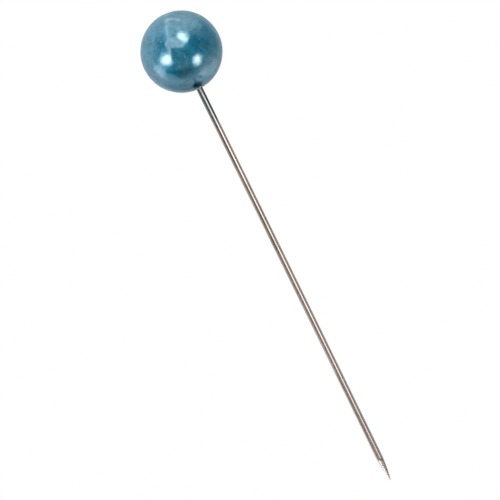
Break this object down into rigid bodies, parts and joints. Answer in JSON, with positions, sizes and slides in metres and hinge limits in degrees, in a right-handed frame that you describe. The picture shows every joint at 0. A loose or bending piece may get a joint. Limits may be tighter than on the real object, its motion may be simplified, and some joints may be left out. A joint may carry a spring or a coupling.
{
  "type": "pearl head pin",
  "caption": "Straight steel pin with a ground point and a round pearl-lacquered bead glued on its blunt end, for pinning cloth, ribbon or flowers.",
  "frame": {"origin": "on the pin's axis at the head's underside, where the wire leaves the bead: the point that comes to rest on the cloth, cushion or stem that holds the pin", "axes": "+Z along the wire from the point to the head, so the pin stands as it does when it is pushed in from above; X and Y are alike"},
  "size_m": [0.01, 0.01, 0.0627],
  "materials": {
    "steel_wire": "drawn bright wire with a warm tint, ground point",
    "bead_plastic": "moulded, hidden under the lacquer",
    "pearl_lacquer": "teal-blue pearl lacquer with a clear gloss over it",
    "clear_glue": "clear, faintly yellow, set hard"
  },
  "bodies": {
    "root": {"wire_shank": "steel_wire", "bead_core": "bead_plastic", "pearl_coat": "pearl_lacquer", "glue_bond": "clear_glue"}
  },
  "joints": []
}
